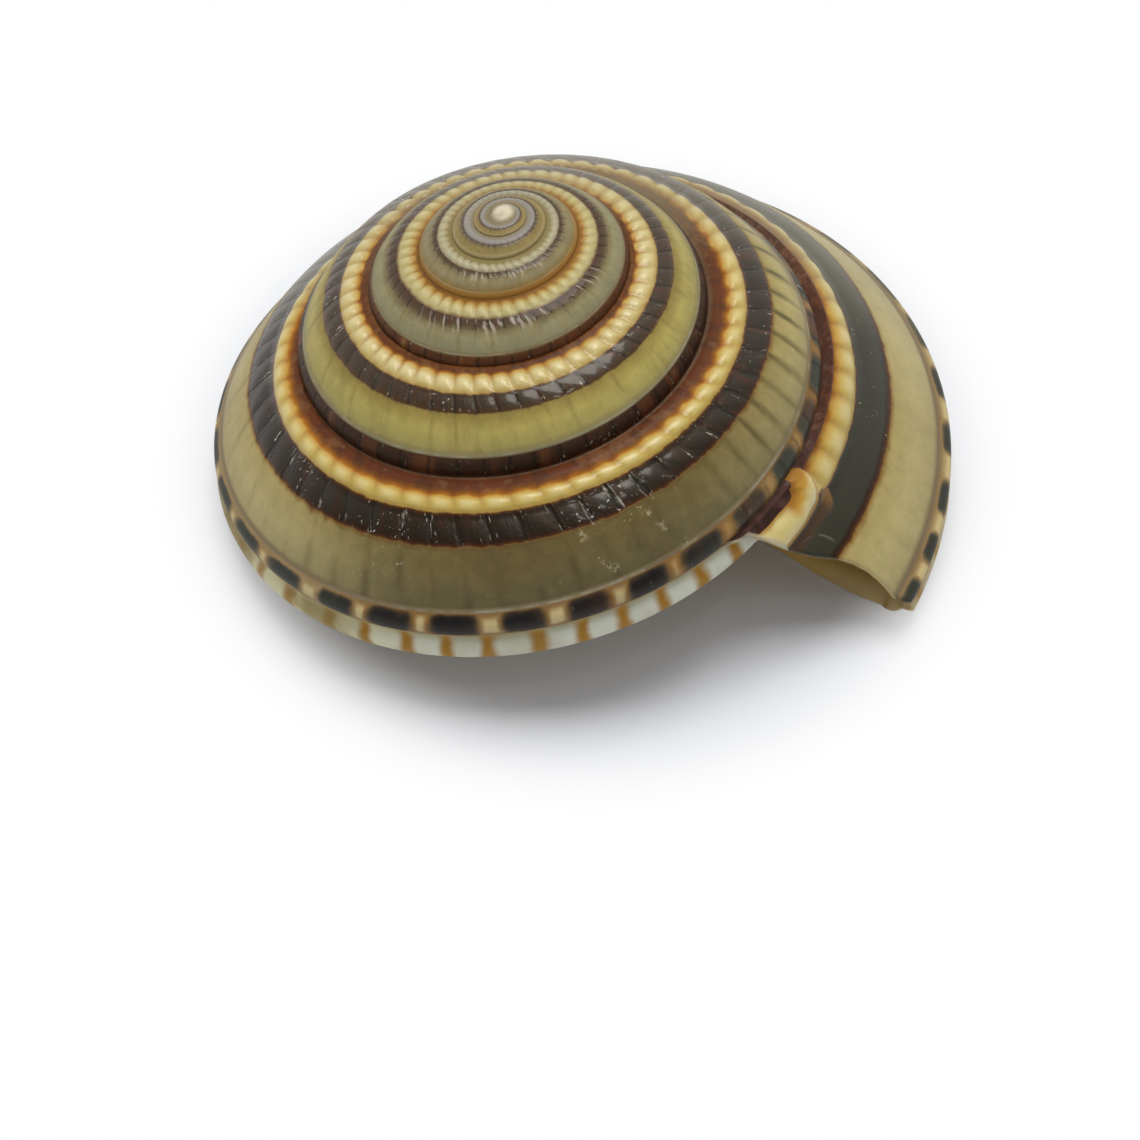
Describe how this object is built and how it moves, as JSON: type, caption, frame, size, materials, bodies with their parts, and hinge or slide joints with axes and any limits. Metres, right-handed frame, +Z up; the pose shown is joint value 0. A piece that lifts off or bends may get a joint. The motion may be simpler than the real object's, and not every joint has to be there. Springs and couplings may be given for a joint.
{
  "type": "sundial shell",
  "caption": "Low domed sundial shell: stepped right-handed coil with a dashed rim cord, beaded cream band, open oblique mouth and a wide crenulated umbilicus.",
  "frame": {"origin": "middle of the bounding box, at table height under the shell", "axes": "+Z up, out of the tip of the coil, which leans a little to -X; +X towards the side that ends in the lip; -Y is the side the mouth faces"},
  "size_m": [0.0362, 0.0326, 0.0166],
  "materials": {
    "shell": "semi-gloss"
  },
  "bodies": {
    "root": {"shell": "shell"}
  },
  "joints": []
}
